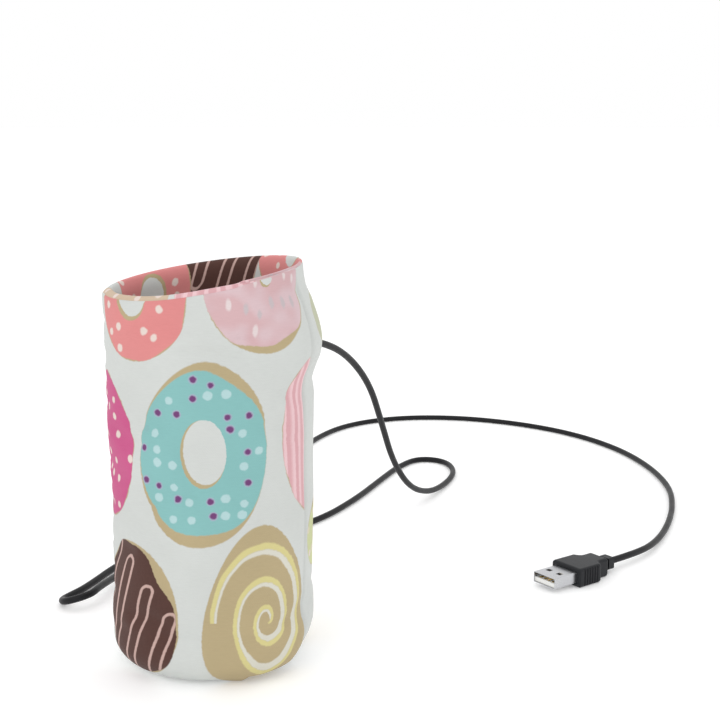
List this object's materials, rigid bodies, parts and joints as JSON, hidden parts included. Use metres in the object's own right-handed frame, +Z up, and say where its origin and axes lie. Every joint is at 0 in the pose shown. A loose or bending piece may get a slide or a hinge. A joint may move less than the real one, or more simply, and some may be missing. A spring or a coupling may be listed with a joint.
{
  "type": "bottle warmer",
  "caption": "Padded fabric sleeve that wraps round a baby bottle and warms it with a film heater, with a hook-and-loop side flap and a thin lead ending in a USB-A plug.",
  "frame": {"origin": "centre of the sleeve's underside, where it stands", "axes": "+Z up the sleeve towards its mouth; -Y is the front, with the flap's hinge to the right of it; the lead leaves towards +Y and +X"},
  "size_m": [0.2743, 0.3859, 0.14],
  "materials": {
    "cover_print": "off-white cotton canvas printed with doughnuts",
    "hem_print": "turned hem of the same canvas",
    "wadding": "white polyester wadding",
    "lining_print": "printed cotton lining",
    "heater_film": "amber polyimide film",
    "heater_trace": "etched metal heating trace",
    "reflective_foil": "bright foil",
    "lead_jacket": "black PVC jacket",
    "eyelet": "black moulded grommet",
    "cable_tie": "white nylon",
    "thermostat": "black moulded case",
    "red_wire": "red PVC wire",
    "black_wire": "black PVC wire",
    "joint_sleeve": "heat-shrink sleeve",
    "loop_tape": "white loop pile",
    "hook_tape": "white hook tape",
    "plug_plastic": "black moulded plug",
    "usb_shell": "nickel-plated steel",
    "usb_tongue": "white insulator",
    "usb_contacts": "gold-plated"
  },
  "bodies": {
    "sleeve": {"back_panel": "cover_print", "base_panel": "cover_print", "black_lead": "black_wire", "cable_tie": "cable_tie", "exit_eyelet": "eyelet", "front_panel": "cover_print", "heater_film": "heater_film", "heater_trace": "heater_trace", "inner_cable": "lead_jacket", "joint_sleeves": "joint_sleeve", "lining_base": "lining_print", "lining_wall": "lining_print", "loop_tape": "loop_tape", "plug_body": "plug_plastic", "power_lead": "lead_jacket", "red_lead": "red_wire", "reflective_foil": "reflective_foil", "rim_hem": "hem_print", "strain_relief": "plug_plastic", "thermostat": "thermostat", "thermostat_lead": "black_wire", "usb_contacts": "usb_contacts", "usb_shell": "usb_shell", "usb_tongue": "usb_tongue", "wadding_base": "wadding", "wadding_wall": "wadding"},
    "flap": {"flap_cover": "cover_print", "flap_hem": "hem_print", "flap_wadding": "wadding", "flap_lining": "lining_print", "hook_tape": "hook_tape"}
  },
  "joints": [
    {"name": "flap_hinge", "type": "hinge", "parent": "sleeve", "child": "flap", "pos_m": [0.01444, -0.03243, 0.07], "axis": [0, 0, -1], "range_deg": [0, 110]}
  ]
}
